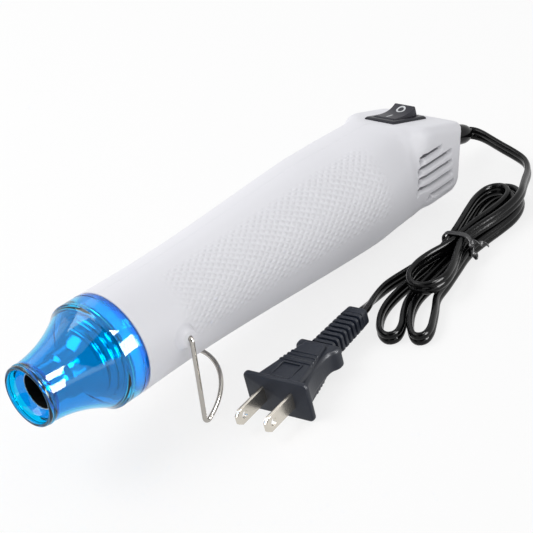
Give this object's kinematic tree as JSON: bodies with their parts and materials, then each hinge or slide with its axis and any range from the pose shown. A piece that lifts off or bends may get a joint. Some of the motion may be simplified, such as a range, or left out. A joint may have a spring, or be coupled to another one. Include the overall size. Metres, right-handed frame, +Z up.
{
  "type": "embossing heat tool",
  "caption": "Slim hot-air embossing tool with a clear blue nozzle guard, folding wire stand, rocker switch, vented tail and flat mains lead tied in a hank.",
  "frame": {"origin": "on the surface that the tool rests on, under the middle of the tool without its lead", "axes": "+X runs towards the tail, -X towards the nozzle mouth; +Z is up, with the tool standing on its wire stand and the belly of its grip; the lead lies on the -Y side"},
  "size_m": [0.2634, 0.0981, 0.0585],
  "materials": {
    "housing": "fine satin moulding with a raised grip pattern",
    "screws": "zinc plated",
    "guard": "clear tinted, polished",
    "nozzle": "polished sheet steel",
    "mica": "mica sheet",
    "heating_wire": "dull alloy wire",
    "fuse": "plain",
    "shroud": "heat-resistant moulding",
    "impeller": "plain moulding",
    "motor_steel": "drawn and plated",
    "magnet": "sintered ferrite",
    "core": "laminated and varnished",
    "brass": "plain",
    "board": "laminate",
    "diode": "moulded",
    "capacitor": "dipped",
    "switch": "satin",
    "lead_black": "plain",
    "lead_white": "plain",
    "lead_red": "silicone sleeve",
    "wire": "nickel plated",
    "boot": "satin",
    "cord": "glossy vinyl",
    "tie": "coated wire",
    "plug": "moulded vinyl",
    "blade": "nickel plated"
  },
  "bodies": {
    "housing": {"left_housing": "housing", "right_housing": "housing", "housing_screws": "screws", "nozzle_guard": "guard", "nozzle_tube": "nozzle", "mica_sleeve": "mica", "mica_cross": "mica", "heating_coil": "heating_wire", "mica_disc": "mica", "thermal_fuse": "fuse", "fan_shroud": "shroud", "motor_can": "motor_steel", "motor_magnets": "magnet", "motor_bushes": "brass", "motor_end_cap": "impeller", "rectifier_board": "board", "rectifier_diodes": "diode", "smoothing_capacitor": "capacitor", "switch_body": "switch", "switch_terminals": "brass", "live_lead": "lead_black", "neutral_lead": "lead_white", "heater_leads": "lead_red", "strain_relief": "boot", "supply_cord": "cord", "cord_hank": "cord", "hank_loops": "cord", "hank_tie": "tie", "plug_lead": "cord", "plug_body": "plug", "plug_relief": "plug", "plug_blades": "blade"},
    "rocker": {"switch_rocker": "switch"},
    "stand": {"wire_stand": "wire"},
    "rotor": {"fan_impeller": "impeller", "motor_armature": "core", "motor_commutator": "brass", "motor_shaft": "motor_steel"}
  },
  "joints": [
    {"name": "stand_fold", "type": "hinge", "parent": "housing", "child": "stand", "pos_m": [-0.05404, 0, 0.03481], "axis": [0, 1, 0], "range_deg": [0, 87]},
    {"name": "switch_rock", "type": "hinge", "parent": "housing", "child": "rocker", "pos_m": [0.09729, 0, 0.03982], "axis": [0, 1, 0], "range_deg": [0, 24]},
    {"name": "motor_spin", "type": "hinge", "parent": "housing", "child": "rotor", "pos_m": [-0.01092, 0, 0.03203], "axis": [0.9966, 0, -0.0826], "continuous": true}
  ]
}
